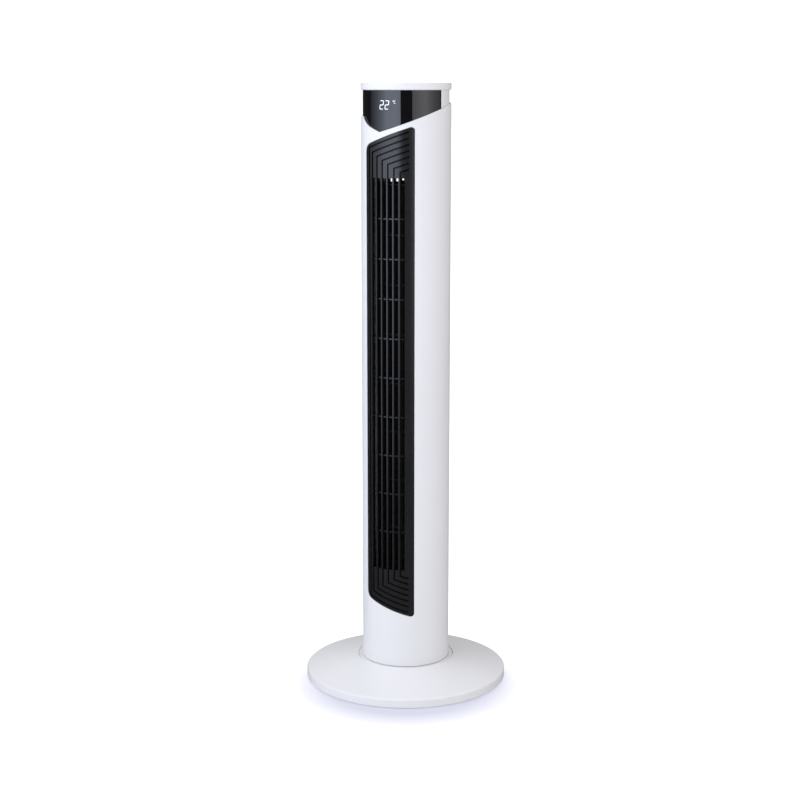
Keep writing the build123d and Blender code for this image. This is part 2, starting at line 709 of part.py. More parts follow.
with BuildPart() as grille_grooves:
    with BuildSketch(Plane.XZ):
        for index in range(GROOVE_COUNT):
            drop = GROOVE_FIRST + GROOVE_PITCH * index
            if index == 0:
                line_x = slot_edge_x(0) - OUTER_GROOVE_GAP
                inner_top = inner_bottom = (SLOT_TOP + SLOT_BOTTOM) / 2
            else:
                line_x = slot_edge_x(index - 1) + INNER_GROOVE_GAP
                inner_top = SLOT_TOP - GROOVE_OVERRUN
                inner_bottom = SLOT_BOTTOM + GROOVE_OVERRUN
            top_z = GRILLE_TOP_Z - drop
            bottom_z = GRILLE_BOTTOM_Z + drop
            with BuildLine():
                Polyline(
                    (GROOVE_END_X, top_z + GRILLE_TOP_SLOPE * GROOVE_END_X),
                    (line_x, top_z + GRILLE_TOP_SLOPE * line_x),
                    (line_x, inner_top),
                )
            trace(line_width=GROOVE_WIDTH)
            with BuildLine():
                Polyline(
                    (GROOVE_END_X, bottom_z + GRILLE_BOTTOM_SLOPE * GROOVE_END_X),
                    (line_x, bottom_z + GRILLE_BOTTOM_SLOPE * line_x),
                    (line_x, inner_bottom),
                )
            trace(line_width=GROOVE_WIDTH)
    extrude(amount=COLUMN_R + 5)
    with BuildSketch():
        Circle(COLUMN_R + 3)
        Circle(COLUMN_R - GROOVE_DEPTH, mode=Mode.SUBTRACT)
    extrude(amount=CUT_HEIGHT, mode=Mode.INTERSECT)

with BuildPart() as grille_skin:
    extrude(grille_face(-GRILLE_GAP), amount=COLUMN_R + 5, dir=FORWARD)
    with BuildSketch():
        Circle(COLUMN_R)
        Circle(COLUMN_R - GRILLE_SKIN, mode=Mode.SUBTRACT)
    extrude(amount=CUT_HEIGHT, mode=Mode.INTERSECT)
    fillet(grille_skin.edges().filter_by(on_column), OPENING_ROUND)

with BuildPart() as grille_lip:
    extrude(grille_face(GRILLE_LIP), amount=COLUMN_R + 5, dir=FORWARD)
    with BuildSketch():
        Circle(COLUMN_INNER_R)
        Circle(COLUMN_INNER_R - 1.6, mode=Mode.SUBTRACT)
    extrude(amount=CUT_HEIGHT, mode=Mode.INTERSECT)

with BuildPart() as grille_ribs:
    with BuildSketch(Plane.XY.offset(SLOT_BOTTOM - RIB_ROOT)):
        for index in range(SLOT_COUNT + 1):
            rib_x = slot_edge_x(index)
            with Locations((rib_x, -COLUMN_R * cos(rib_x / COLUMN_R) + RIB_DEPTH / 2)):
                Rectangle(RIB_THICK, RIB_DEPTH)
    extrude(amount=SLOT_TOP - SLOT_BOTTOM + 2 * RIB_ROOT)
    for row in range(1, BAY_COUNT):
        cross_z = SLOT_BOTTOM + bay * row
        with BuildSketch(Plane.XY.offset(cross_z - CROSS_RIB_THICK / 2)):
            add(ring_sector(COLUMN_R - RIB_DEPTH, COLUMN_R - CROSS_RIB_SINK, FRONT, SLOT_HALF_ANGLE + 1))
        extrude(amount=CROSS_RIB_THICK)
    with BuildSketch():
        Circle(COLUMN_R - 0.4)
    extrude(amount=CUT_HEIGHT, mode=Mode.INTERSECT)

with BuildPart() as front_grille:
    add(grille_skin.part)
    add(grille_lip.part)
    slot_left = slot_edge_x(0)
    with BuildSketch(Plane.XZ):
        with Locations((0, (SLOT_TOP + SLOT_BOTTOM) / 2)):
            Rectangle(-2 * slot_left, SLOT_TOP - SLOT_BOTTOM)
    extrude(amount=COLUMN_R + 5, mode=Mode.SUBTRACT)
    add(grille_grooves.part, mode=Mode.SUBTRACT)
    add(grille_ribs.part)
save(front_grille.part, "front_grille")

# ---------------------------------------------------------------- air duct

with BuildPart() as duct_bottom:
    with BuildSketch(Plane.XY.offset(DUCT_BOTTOM)):
        Circle(DUCT_R)
        Circle(9, mode=Mode.SUBTRACT)
        with PolarLocations(DAMPER_ORBIT, DAMPER_COUNT, start_angle=DAMPER_TURN):
            Circle(SCREW_HOLE_R, mode=Mode.SUBTRACT)
    extrude(amount=DUCT_PLATE)
    with BuildSketch(Plane.XY.offset(DUCT_BOTTOM - 12)):
        for angle in SCREW_ANGLES:
            add(ring_sector(54, DUCT_R, angle, 5.5))
    extrude(amount=12)
    for angle in SCREW_ANGLES:
        with BuildSketch(radial_plane(angle, 50, SCREW_HEIGHTS[1])):
            Circle(SMALL_SCREW_R)
        extrude(amount=20, mode=Mode.SUBTRACT)
save(duct_bottom.part, "duct_bottom")

with BuildPart() as duct_top:
    with BuildSketch(Plane.XY.offset(DUCT_TOP)):
        Circle(DUCT_R)
        Circle(10, mode=Mode.SUBTRACT)
    extrude(amount=DUCT_PLATE)
    with BuildSketch(Plane.XY.offset(DUCT_TOP + DUCT_PLATE)):
        Circle(17)
        Circle(14, mode=Mode.SUBTRACT)
        for angle in SCREW_ANGLES:
            add(ring_sector(54, DUCT_R, angle, 5.5))
    extrude(amount=10)
    for angle in SCREW_ANGLES:
        with BuildSketch(radial_plane(angle, 50, SCREW_HEIGHTS[2])):
            Circle(SMALL_SCREW_R)
        extrude(amount=20, mode=Mode.SUBTRACT)
save(duct_top.part, "duct_top")

wall_bottom = DUCT_BOTTOM + DUCT_PLATE
wall_height = DUCT_TOP - wall_bottom

with BuildPart() as scroll_wall:
    with BuildSketch(Plane.XY.offset(wall_bottom)):
        with BuildLine():
            scroll_points = []
            for step in range(6):
                turn = radians(-58.0 + 100.0 * step / 5)
                reach = 59.0 - 14.0 * step / 5
                scroll_points.append((reach * cos(turn), reach * sin(turn)))
            Spline(*scroll_points)
        trace(line_width=2)
    extrude(amount=wall_height)
save(scroll_wall.part, "scroll_wall")

with BuildPart() as scroll_tongue:
    with BuildSketch(Plane.XY.offset(wall_bottom)):
        with BuildLine():
            Spline((-31, -50), (-38, -37), (-46, -17), (-56, -6))
        trace(line_width=2)
    extrude(amount=wall_height)
save(scroll_tongue.part, "scroll_tongue")

# ---------------------------------------------------------------- impeller and motor

with BuildSketch() as blade:
    with BuildLine():
        blade_root = (BLADE_INNER_R, 0)
        blade_tip = (IMPELLER_R - 0.8, BLADE_LEAN)
        RadiusArc(blade_root, blade_tip, 7.0)
        RadiusArc(blade_root, blade_tip, 11.5)
    make_face()

for segment in range(SEGMENT_COUNT):
    floor_z = IMPELLER_BOTTOM + SEGMENT_HEIGHT * segment
    with BuildPart() as impeller_segment:
        with BuildSketch(Plane.XY.offset(floor_z)):
            Circle(IMPELLER_R)
            Circle(SEGMENT_BORE_R, mode=Mode.SUBTRACT)
        extrude(amount=DISC_THICK)
        with BuildSketch(Plane.XY.offset(floor_z + DISC_THICK)):
            with PolarLocations(0, BLADE_COUNT):
                add(blade.sketch)
        extrude(amount=SEGMENT_HEIGHT - DISC_THICK)
    save(impeller_segment.part, f"impeller_segment_{segment + 1}")

with BuildPart() as impeller_end:
    with BuildSketch(Plane.XY.offset(IMPELLER_TOP)):
        Circle(IMPELLER_R)
    extrude(amount=DISC_THICK)
    with BuildSketch(Plane.XY.offset(IMPELLER_TOP + DISC_THICK)):
        Circle(7)
    extrude(amount=3.5)
    with BuildSketch(Plane.XY.offset(IMPELLER_TOP)):
        Circle(STUB_R)
    extrude(amount=10, mode=Mode.SUBTRACT)
save(impeller_end.part, "impeller_end")

with BuildPart() as stub_shaft:
    with BuildSketch(Plane.XY.offset(IMPELLER_TOP)):
        Circle(STUB_R)
    extrude(amount=DUCT_TOP + 12 - IMPELLER_TOP)
    chamfer(stub_shaft.edges().group_by(Axis.Z)[-1], 0.5)
save(stub_shaft.part, "stub_shaft")

with BuildPart() as top_bearing:
    with BuildSketch(Plane.XY.offset(DUCT_TOP + DUCT_PLATE)):
        Circle(8)
        Circle(STUB_R + RUNNING_GAP, mode=Mode.SUBTRACT)
    extrude(amount=9)
save(top_bearing.part, "top_bearing")

with BuildPart() as bearing_rubber:
    with BuildSketch(Plane.XY.offset(DUCT_TOP + DUCT_PLATE)):
        Circle(14)
        Circle(8, mode=Mode.SUBTRACT)
    extrude(amount=9)
save(bearing_rubber.part, "bearing_rubber")

with BuildPart() as impeller_hub:
    with BuildSketch(Plane.XY.offset(IMPELLER_BOTTOM - 3)):
        Circle(16)
        Circle(SHAFT_R, mode=Mode.SUBTRACT)
    extrude(amount=3)
    with BuildSketch(Plane.XY.offset(IMPELLER_BOTTOM)):
        Circle(SEGMENT_BORE_R)
        Circle(SHAFT_R, mode=Mode.SUBTRACT)
    extrude(amount=16)
    with BuildSketch(radial_plane(0, SHAFT_R - 1, IMPELLER_BOTTOM + 9)):
        Circle(2)
    extrude(amount=20, mode=Mode.SUBTRACT)
save(impeller_hub.part, "impeller_hub")

with BuildPart() as hub_grub_screw:
    with BuildSketch(radial_plane(0, SHAFT_R, IMPELLER_BOTTOM + 9)):
        Circle(2)
    extrude(amount=6)
    with BuildSketch(radial_plane(0, SHAFT_R + 4, IMPELLER_BOTTOM + 9)):
        RegularPolygon(1.1, 6)
    extrude(amount=4, mode=Mode.SUBTRACT)
save(hub_grub_screw.part, "hub_grub_screw")

with BuildPart() as motor_shaft:
    with BuildSketch(Plane.XY.offset(MOTOR_BOTTOM + 6)):
        Circle(SHAFT_R)
    extrude(amount=IMPELLER_BOTTOM + 14 - MOTOR_BOTTOM - 6)
    chamfer(motor_shaft.edges().group_by(Axis.Z)[-1], 0.5)
save(motor_shaft.part, "motor_shaft")

with BuildPart() as fan_motor:
    with BuildSketch(Plane.XY.offset(MOTOR_BOTTOM)):
        Circle(12)
    extrude(amount=6)
    with BuildSketch(Plane.XY.offset(MOTOR_BOTTOM + 6)):
        Circle(MOTOR_R)
    extrude(amount=MOTOR_TOP - MOTOR_BOTTOM - 8)
    fillet(fan_motor.edges().filter_by(GeomType.CIRCLE).group_by(SortBy.RADIUS)[-1], 5)
    with BuildSketch(Plane.XY.offset(MOTOR_TOP - MOTOR_PLATE)):
        Circle(MOTOR_R - 1)
    extrude(amount=MOTOR_PLATE)
    with BuildSketch(Plane.XY.offset(MOTOR_BOTTOM + 6)):
        Circle(SHAFT_R + RUNNING_GAP)
    extrude(amount=MOTOR_TOP - MOTOR_BOTTOM, mode=Mode.SUBTRACT)
    with BuildSketch(Plane.XY.offset(MOTOR_TOP - MOTOR_PLATE)):
        with PolarLocations(DAMPER_ORBIT, DAMPER_COUNT, start_angle=DAMPER_TURN):
            Circle(SCREW_HOLE_R)
    extrude(amount=3, mode=Mode.SUBTRACT)
    with BuildSketch(Plane.XY.offset(MOTOR_BOTTOM + 16)):
        with PolarLocations(MOTOR_R + 1, COOLING_SLOTS):
            Rectangle(5, 3)
    extrude(amount=24, mode=Mode.SUBTRACT)
save(fan_motor.part, "fan_motor")

with BuildPart() as motor_dampers:
    with BuildSketch(Plane.XY.offset(MOTOR_TOP)):
        with PolarLocations(DAMPER_ORBIT, DAMPER_COUNT, start_angle=DAMPER_TURN):
            Circle(5)
            Circle(SCREW_HOLE_R, mode=Mode.SUBTRACT)
    extrude(amount=DUCT_BOTTOM - MOTOR_TOP)
save(motor_dampers.part, "motor_dampers")

with BuildPart() as motor_screws:
    with BuildSketch(Plane.XY.offset(MOTOR_TOP - 2.4)):
        with PolarLocations(DAMPER_ORBIT, DAMPER_COUNT, start_angle=DAMPER_TURN):
            Circle(SCREW_HOLE_R)
    extrude(amount=DUCT_BOTTOM + DUCT_PLATE - MOTOR_TOP + 2.4)
    with BuildSketch(Plane.XY.offset(DUCT_BOTTOM + DUCT_PLATE)):
        with PolarLocations(DAMPER_ORBIT, DAMPER_COUNT, start_angle=DAMPER_TURN):
            Circle(3.2)
    extrude(amount=2)
save(motor_screws.part, "motor_screws")

# ---------------------------------------------------------------- mains electronics in the foot

with BuildPart() as power_board:
    with BuildSketch(Plane.XY.offset(BOARD_Z)):
        with Locations((0, -30)):
            RectangleRounded(60, 42, 2)
    extrude(amount=BOARD_THICK)
    with BuildSketch(Plane.XY.offset(BOARD_Z + BOARD_THICK)):
        with Locations((-18, -22)):
            Rectangle(16, 12)
        with Locations((18, -42)):
            Rectangle(14, 9)
        with Locations((19, -24)):
            Rectangle(10, 16)
    extrude(amount=11)
save(power_board.part, "power_board")

with BuildPart() as motor_capacitor:
    with BuildSketch(Plane.XY.offset(BOARD_Z + BOARD_THICK)):
        with Locations((0, -38)):
            Circle(8)
    extrude(amount=26)
    fillet(motor_capacitor.edges().group_by(Axis.Z)[-1], 1)
save(motor_capacitor.part, "motor_capacitor")

# ---------------------------------------------------------------- head

with BuildPart() as head_front:
    with BuildSketch(Plane.XY.offset(HOOP_BOTTOM - 50)):
        add(ring_sector(HEAD_HOOP_R, HEAD_R, FRONT, 90))
        add(ring_sector(HEAD_HOOP_R, HEAD_R, FRONT, WINDOW_HALF_ANGLE), mode=Mode.SUBTRACT)
    extrude(amount=CAP_BOTTOM - HOOP_BOTTOM + 50)
    add(neck_cutter, mode=Mode.SUBTRACT)
    with BuildSketch(Plane.XY.offset(HOOP_BOTTOM)):
        add(ring_sector(HEAD_INNER_R, HEAD_HOOP_R, FRONT, 90))
    extrude(amount=CAP_BOTTOM - HOOP_BOTTOM)
    with BuildSketch(Plane.XZ):
        with Locations((0, 880)):
            Rectangle(44, 32)
    extrude(amount=COLUMN_R, mode=Mode.SUBTRACT)
save(head_front.part, "head_front")

with BuildPart() as head_rear:
    with BuildSketch(Plane.XY.offset(HOOP_BOTTOM - 50)):
        add(ring_sector(HEAD_HOOP_R, HEAD_R, REAR, 89.7))
    extrude(amount=CAP_BOTTOM - HOOP_BOTTOM + 50)
    add(neck_cutter, mode=Mode.SUBTRACT)
    with BuildSketch(Plane.XY.offset(HOOP_BOTTOM)):
        add(ring_sector(HEAD_INNER_R, HEAD_HOOP_R, REAR, 89.7))
    extrude(amount=CAP_BOTTOM - HOOP_BOTTOM)
save(head_rear.part, "head_rear")

with BuildPart() as display_window:
    with BuildSketch(Plane.XY.offset(HOOP_BOTTOM - 50)):
        add(ring_sector(HEAD_HOOP_R, HEAD_R, FRONT, WINDOW_HALF_ANGLE - 0.2))
    extrude(amount=CAP_BOTTOM - HOOP_BOTTOM + 50)
    add(window_cutter, mode=Mode.SUBTRACT)
save(display_window.part, "display_window")

deck_posts = [(-44, -20), (44, -20), (-48, 18), (48, 18)]
cap_boss_spots = [(53 * cos(radians(a)), 53 * sin(radians(a))) for a in (0, 120, 240)]

with BuildPart() as head_deck:
    with BuildSketch(Plane.XY.offset(DECK_BOTTOM)):
        Circle(HEAD_INNER_R)
        with Locations((0, -HEAD_INNER_R)):
            Rectangle(52, 26, mode=Mode.SUBTRACT)
        Circle(14, mode=Mode.SUBTRACT)
        with Locations(*cap_boss_spots):
            Circle(1.6, mode=Mode.SUBTRACT)
    extrude(amount=DECK_THICK)
    with BuildSketch(Plane.XY.offset(DUCT_TOP + DUCT_PLATE)):
        with Locations(*deck_posts):
            Circle(4)
    extrude(amount=DECK_BOTTOM - DUCT_TOP - DUCT_PLATE)
    with BuildSketch(Plane.XY.offset(DECK_BOTTOM + DECK_THICK)):
        with Locations((-34, 0), (34, 0), (0, 34), (0, -34)):
            Circle(3)
    extrude(amount=CONTROL_BOARD_Z - DECK_BOTTOM - DECK_THICK)
save(head_deck.part, "head_deck")

with BuildPart() as display_board:
    with BuildSketch(Plane.XZ.offset(DISPLAY_BOARD_Y)):
        with Locations((0, 880)):
            Rectangle(40, 28)
    extrude(amount=BOARD_THICK)
save(display_board.part, "display_board")

with BuildPart() as digit_module:
    with BuildSketch(Plane.XZ.offset(DISPLAY_BOARD_Y + BOARD_THICK)):
        with Locations((0, 883)):
            Rectangle(34, 18)
    extrude(amount=6.5)
save(digit_module.part, "digit_module")

with BuildPart() as control_board:
    with BuildSketch(Plane.XY.offset(CONTROL_BOARD_Z)):
        Circle(38)
    extrude(amount=BOARD_THICK)
save(control_board.part, "control_board")

button_spots = {"power_button": (0.0, 0.0)}
for index, name in enumerate(("speed_button", "mode_button", "timer_button", "swing_button")):
    around = radians(FRONT + 90.0 * index)
    button_spots[name] = (BUTTON_ORBIT * cos(around), BUTTON_ORBIT * sin(around))

with BuildPart() as tact_switches:
    with BuildSketch(Plane.XY.offset(CONTROL_BOARD_Z + BOARD_THICK)):
        with Locations(*button_spots.values()):
            Rectangle(6, 6)
    extrude(amount=1.6)
    with BuildSketch(Plane.XY.offset(CONTROL_BOARD_Z + BOARD_THICK + 1.6)):
        with Locations(*button_spots.values()):
            Circle(1.7)
    extrude(amount=SWITCH_TOP - CONTROL_BOARD_Z - BOARD_THICK - 1.6)
save(tact_switches.part, "tact_switches")

with BuildPart() as top_cap:
    with BuildSketch(Plane.XZ) as cap_profile:
        with BuildLine():
            Polyline(
                (0, CAP_TOP),
                (COLUMN_R, CAP_TOP),
                (COLUMN_R, CAP_BOTTOM),
                (HEAD_INNER_R, CAP_BOTTOM),
                (HEAD_INNER_R, CAP_BOTTOM - 5),
                (HEAD_INNER_R - 2.4, CAP_BOTTOM - 5),
                (HEAD_INNER_R - 2.4, CAP_TOP - CAP_PLATE),
                (0, CAP_TOP - CAP_PLATE),
                close=True,
            )
        make_face()
        cap_rim = cap_profile.vertices().sort_by(Axis.X)[-2:]
        fillet(cap_rim.sort_by(Axis.Z)[-1], 2.0)
        fillet(cap_rim.sort_by(Axis.Z)[0], 0.6)
    revolve(axis=Axis.Z)
    with BuildSketch(Plane.XY.offset(DECK_BOTTOM + DECK_THICK)):
        with Locations(*cap_boss_spots):
            Circle(4)
    extrude(amount=CAP_TOP - CAP_PLATE - DECK_BOTTOM - DECK_THICK)
    with BuildSketch(Plane.XY.offset(DECK_BOTTOM + DECK_THICK)):
        with Locations(*cap_boss_spots):
            Circle(1.4)
    extrude(amount=14, mode=Mode.SUBTRACT)
    with BuildSketch(Plane.XY.offset(CAP_TOP - PANEL_DEPTH)):
        Circle(PANEL_R)
    extrude(amount=PANEL_DEPTH, mode=Mode.SUBTRACT)
    with BuildSketch(Plane.XY.offset(CAP_TOP - CAP_PLATE)):
        for name, spot in button_spots.items():
            with Locations(spot):
                Circle((POWER_BUTTON_R if name == "power_button" else BUTTON_R) + BUTTON_GAP)
    extrude(amount=CAP_PLATE, mode=Mode.SUBTRACT)
save(top_cap.part, "top_cap")

with BuildPart() as cap_screws:
    with BuildSketch(Plane.XY.offset(DECK_BOTTOM - 1.8)):
        with Locations(*cap_boss_spots):
            Circle(2.8)
    extrude(amount=1.8)
    with BuildSketch(Plane.XY.offset(DECK_BOTTOM)):
        with Locations(*cap_boss_spots):
            Circle(1.4)
    extrude(amount=12)
save(cap_screws.part, "cap_screws")

with BuildPart() as control_panel:
    with BuildSketch(Plane.XY.offset(CAP_TOP - PANEL_DEPTH)):
        Circle(PANEL_R - 0.15)
        for name, spot in button_spots.items():
            with Locations(spot):
                hole_r = (POWER_BUTTON_R if name == "power_button" else BUTTON_R) + BUTTON_GAP
                Circle(hole_r, mode=Mode.SUBTRACT)
    extrude(amount=PANEL_DEPTH)
save(control_panel.part, "control_panel")

for name, spot in button_spots.items():
    button_r = POWER_BUTTON_R if name == "power_button" else BUTTON_R
    with BuildPart() as button:
        with BuildSketch(Plane.XY.offset(CAP_TOP - CAP_PLATE - FLANGE_GAP - FLANGE_THICK)):
            with Locations(spot):
                Circle(button_r + 1.5)
        extrude(amount=FLANGE_THICK)
        with BuildSketch(Plane.XY.offset(CAP_TOP - CAP_PLATE - FLANGE_GAP)):
            with Locations(spot):
                Circle(button_r)
        extrude(amount=CAP_PLATE + FLANGE_GAP)
        fillet(button.edges().group_by(Axis.Z)[-1], 0.5)
        with BuildSketch(Plane.XY.offset(SWITCH_TOP + BUTTON_TRAVEL + 0.4)):
            with Locations(spot):
                Circle(1.8)
        extrude(until=Until.NEXT)
    save(button.part, name)
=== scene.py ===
"""Looks of the tower fan: camera, studio light, floor, materials, glowing digits and button icons."""

import json
from math import cos, pi, radians, sin, tan

import bmesh
import bpy
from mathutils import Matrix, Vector


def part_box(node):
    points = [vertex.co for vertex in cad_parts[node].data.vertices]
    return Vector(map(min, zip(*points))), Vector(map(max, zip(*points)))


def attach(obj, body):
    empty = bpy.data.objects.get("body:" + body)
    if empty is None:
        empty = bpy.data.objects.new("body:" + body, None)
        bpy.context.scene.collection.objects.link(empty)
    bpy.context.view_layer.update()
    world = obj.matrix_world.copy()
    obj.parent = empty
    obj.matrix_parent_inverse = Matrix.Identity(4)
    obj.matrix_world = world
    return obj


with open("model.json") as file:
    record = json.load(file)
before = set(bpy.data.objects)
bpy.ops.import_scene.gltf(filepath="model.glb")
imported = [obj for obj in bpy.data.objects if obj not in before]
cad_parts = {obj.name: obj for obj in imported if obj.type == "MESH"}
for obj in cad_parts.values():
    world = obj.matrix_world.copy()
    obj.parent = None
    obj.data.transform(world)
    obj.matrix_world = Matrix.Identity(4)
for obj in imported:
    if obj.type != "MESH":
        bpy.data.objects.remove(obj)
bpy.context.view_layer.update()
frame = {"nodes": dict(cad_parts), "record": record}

# Camera: level with the fan's top, right of its front
CAMERA_TURN = radians(24.9)
CAMERA_DISTANCE = 2.433
CAMERA_HEIGHT = 0.911
CAMERA_PITCH = radians(11.0)
CAMERA_CLIP = 0.05
FOCAL_RATIO = 2.025
SENSOR = 36.0
SIDE_AIM = -0.009

# Sky: what it gives to matt surfaces, to reflections and to the camera
SKY_COLOUR = (0.97, 0.98, 1.0)
SKY_RADIANCE = 0.41
SKY_GLOSS = 0.035
SKY_SEEN = 1.15

# Soft boxes left and right of the camera. Turns and distances are of their edge near the camera
# and of their far edge, and a profile runs from the near edge (0) to the far edge (1).
LEFT_TURNS = (radians(-14.5), radians(-106))
LEFT_DISTANCES = (2.0, 1.5)
LEFT_RADIANCE = 2.1
LEFT_COLOUR = (0.76, 0.83, 1.0)
LEFT_PROFILE = ((0.0, 0.85), (0.25, 1.0), (0.5, 0.95), (0.62, 0.6), (0.75, 0.32), (0.9, 0.12), (1.0, 0.07))
RIGHT_TURNS = (radians(15.9), radians(100))
RIGHT_DISTANCES = (2.0, 1.6)
RIGHT_RADIANCE = 1.25
RIGHT_COLOUR = (0.96, 0.94, 1.0)
RIGHT_PROFILE = ((0.0, 0.6), (0.2, 0.7), (0.4, 0.9), (0.5, 0.95), (0.6, 0.74), (0.75, 0.45), (1.0, 0.22))
BOX_HEIGHT = 2.2
BOX_FOOT = 0.3  # share of a box's light at the floor
BOX_FULL = 0.28  # share of a box's height where its light is full

# Panels above the fan and at its left
TOP_SPOT = (-0.35, 0.25, 2.4)
TOP_AIM = (0.0, 0.0, 0.2)
TOP_SIZE = (2.0, 1.6)
TOP_POWER = 20.0
TOP_COLOUR = (1.0, 1.0, 1.0)
FILL_TURN = radians(-80.0)
FILL_DISTANCE = 2.0
FILL_HEIGHT = 0.7
FILL_AIM = (0.0, 0.0, 0.5)
FILL_SIZE = (1.5, 1.8)
FILL_POWER = 3.0
FILL_COLOUR = (1.0, 0.98, 0.95)

# Floor: its whiteness to the camera, to other light and to reflections, and the soft shadow painted into
# its glow
FLOOR_REACH = 30.0
FLOOR_WHITE = 0.3
FLOOR_BOUNCE = 0.8
FLOOR_REFLECTED = 0.05
SHADE_SHIFT = 0.05  # the painted shadow lies this far towards the camera from the base's middle
SHADE_NEAR = 0.125
SHADE_FAR = 0.235
PAINTED_SHADOW_GLOW = (0.42, 0.42, 0.53)
OPEN_GLOW = (1.15, 1.15, 1.15)

GROOVE_OPENNESS = (0.55, 0.9)  # share of open sky deep in a groove and on a free surface
GROOVE_PAINTED_SHADE_SHEEN = 0.1  # share of the sheen left deep in a groove, where painted shade cuts the gloss
GROOVE_PAINTED_SHADE = 0.3  # share of the colour left deep in a groove, painted shade

# Lit digits and printed icons
MARK_THICK = 0.0001
DIGIT_HEIGHT = 0.0118
DIGIT_WIDTH = 0.0055
DIGIT_PITCH = 0.0087
DIGIT_LEFT = -0.0128
DIGIT_DROP = 0.0270
DIGIT_LEAN = 0.08
DIGIT_COLOUR = (0.78, 0.88, 1.0)
DIGIT_GLOW = 1.15
SEGMENT_WIDTH = 0.00085
SEGMENT_GAP = 0.08  # share of its width that a segment is short at each end
SEGMENTS = {
    "a": ((0, 1), (1, 1)),
    "b": ((1, 1), (1, 0.5)),
    "c": ((1, 0.5), (1, 0)),
    "d": ((0, 0), (1, 0)),
    "e": ((0, 0.5), (0, 0)),
    "f": ((0, 1), (0, 0.5)),
    "g": ((0, 0.5), (1, 0.5)),
}
TWO = "abged"
CAPITAL_C = "afed"
UNIT_GAP = 0.0056
UNIT_HEIGHT = 0.0038
UNIT_WIDTH = 0.0021
UNIT_STROKE = 0.00045
DEGREE_LEFT = 0.0013
DEGREE_DROP = 0.0004
DEGREE_R = 0.00065
DEGREE_STROKE = 0.0004
ICON_STROKE = 0.0005
ICON_COLOUR = (0.62, 0.62, 0.62)
MM_IN_METRE = 1000

MAX_BOUNCES = 8

window_low, window_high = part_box("display_window")
WINDOW_R = -window_low[1]


def polar(turn, radius, height=0.0):
    """A point at turn radians from the front, positive towards +X."""
    return Vector((radius * sin(turn), -radius * cos(turn), height))


def add_to_scene(name, data):
    thing = bpy.data.objects.new(name, data)
    bpy.context.scene.collection.objects.link(thing)
    return thing


def look_along(thing, direction):
    thing.rotation_euler = direction.to_track_quat("-Z", "Y").to_euler()


# ---------------------------------------------------------------- shader helpers

def new_material(name):
    material = bpy.data.materials.new(name)
    material.use_nodes = True
    return material, material.node_tree, material.node_tree.nodes["Principled BSDF"]


def place_coordinates(tree, stretch=(1.0, 1.0, 1.0)):
    """Object coordinates scaled by stretch, so that every pattern is fixed to the piece."""
    coordinates = tree.nodes.new("ShaderNodeTexCoord")
    mapping = tree.nodes.new("ShaderNodeMapping")
    mapping.inputs["Scale"].default_value = stretch
    tree.links.new(coordinates.outputs["Object"], mapping.inputs["Vector"])
    return mapping.outputs["Vector"]


def noise(tree, vector, scale, detail=3.0):
    texture = tree.nodes.new("ShaderNodeTexNoise")
    texture.inputs["Scale"].default_value = scale
    texture.inputs["Detail"].default_value = detail
    tree.links.new(vector, texture.inputs["Vector"])
    return texture.outputs["Fac"]


def remap(tree, value, low=0.0, high=1.0, source=(0.3, 0.7)):
    """Moves value from its source range to low and high. The default source is a noise's range."""
    node = tree.nodes.new("ShaderNodeMapRange")
    node.inputs["From Min"].default_value = source[0]
    node.inputs["From Max"].default_value = source[1]
    node.inputs["To Min"].default_value = low
    node.inputs["To Max"].default_value = high
    tree.links.new(value, node.inputs["Value"])
    return node.outputs[0]


def two_tones(tree, value, dark, light):
    node = tree.nodes.new("ShaderNodeMix")
    node.data_type = "RGBA"
    node.inputs[6].default_value = (*dark, 1.0)
    node.inputs[7].default_value = (*light, 1.0)
    tree.links.new(value, node.inputs[0])
    return node.outputs[2]


def toned(tree, shader, pattern, dark, light):
    """Gives the shader a colour that drifts from dark to light with the pattern."""
    tree.links.new(two_tones(tree, remap(tree, pattern), dark, light), shader.inputs["Base Color"])


def roughened(tree, shader, pattern, low, high):
    tree.links.new(remap(tree, pattern, low, high), shader.inputs["Roughness"])


def bumped(tree, shader, pattern, distance, strength):
    node = tree.nodes.new("ShaderNodeBump")
    node.inputs["Distance"].default_value = distance
    node.inputs["Strength"].default_value = strength
    tree.links.new(pattern, node.inputs["Height"])
    tree.links.new(node.outputs["Normal"], shader.inputs["Normal"])


# ---------------------------------------------------------------- camera and studio

def make_camera():
    data = bpy.data.cameras.new("camera")
    data.sensor_width = SENSOR
    data.lens = SENSOR * FOCAL_RATIO
    data.clip_start = CAMERA_CLIP
    camera = add_to_scene("camera", data)
    camera.location = polar(CAMERA_TURN, CAMERA_DISTANCE, CAMERA_HEIGHT)
    side = Vector((cos(CAMERA_TURN), sin(CAMERA_TURN), 0.0)) * SIDE_AIM
    ahead = side - polar(CAMERA_TURN, CAMERA_DISTANCE)
    ahead.z = -tan(CAMERA_PITCH) * ahead.length
    look_along(camera, ahead)
    bpy.context.scene.camera = camera


def new_area_light(name, width, height, power, colour):
    data = bpy.data.lights.new(name, "AREA")
    data.shape = "RECTANGLE"
    data.size = width
    data.size_y = height
    data.energy = power
    data.color = colour
    return data


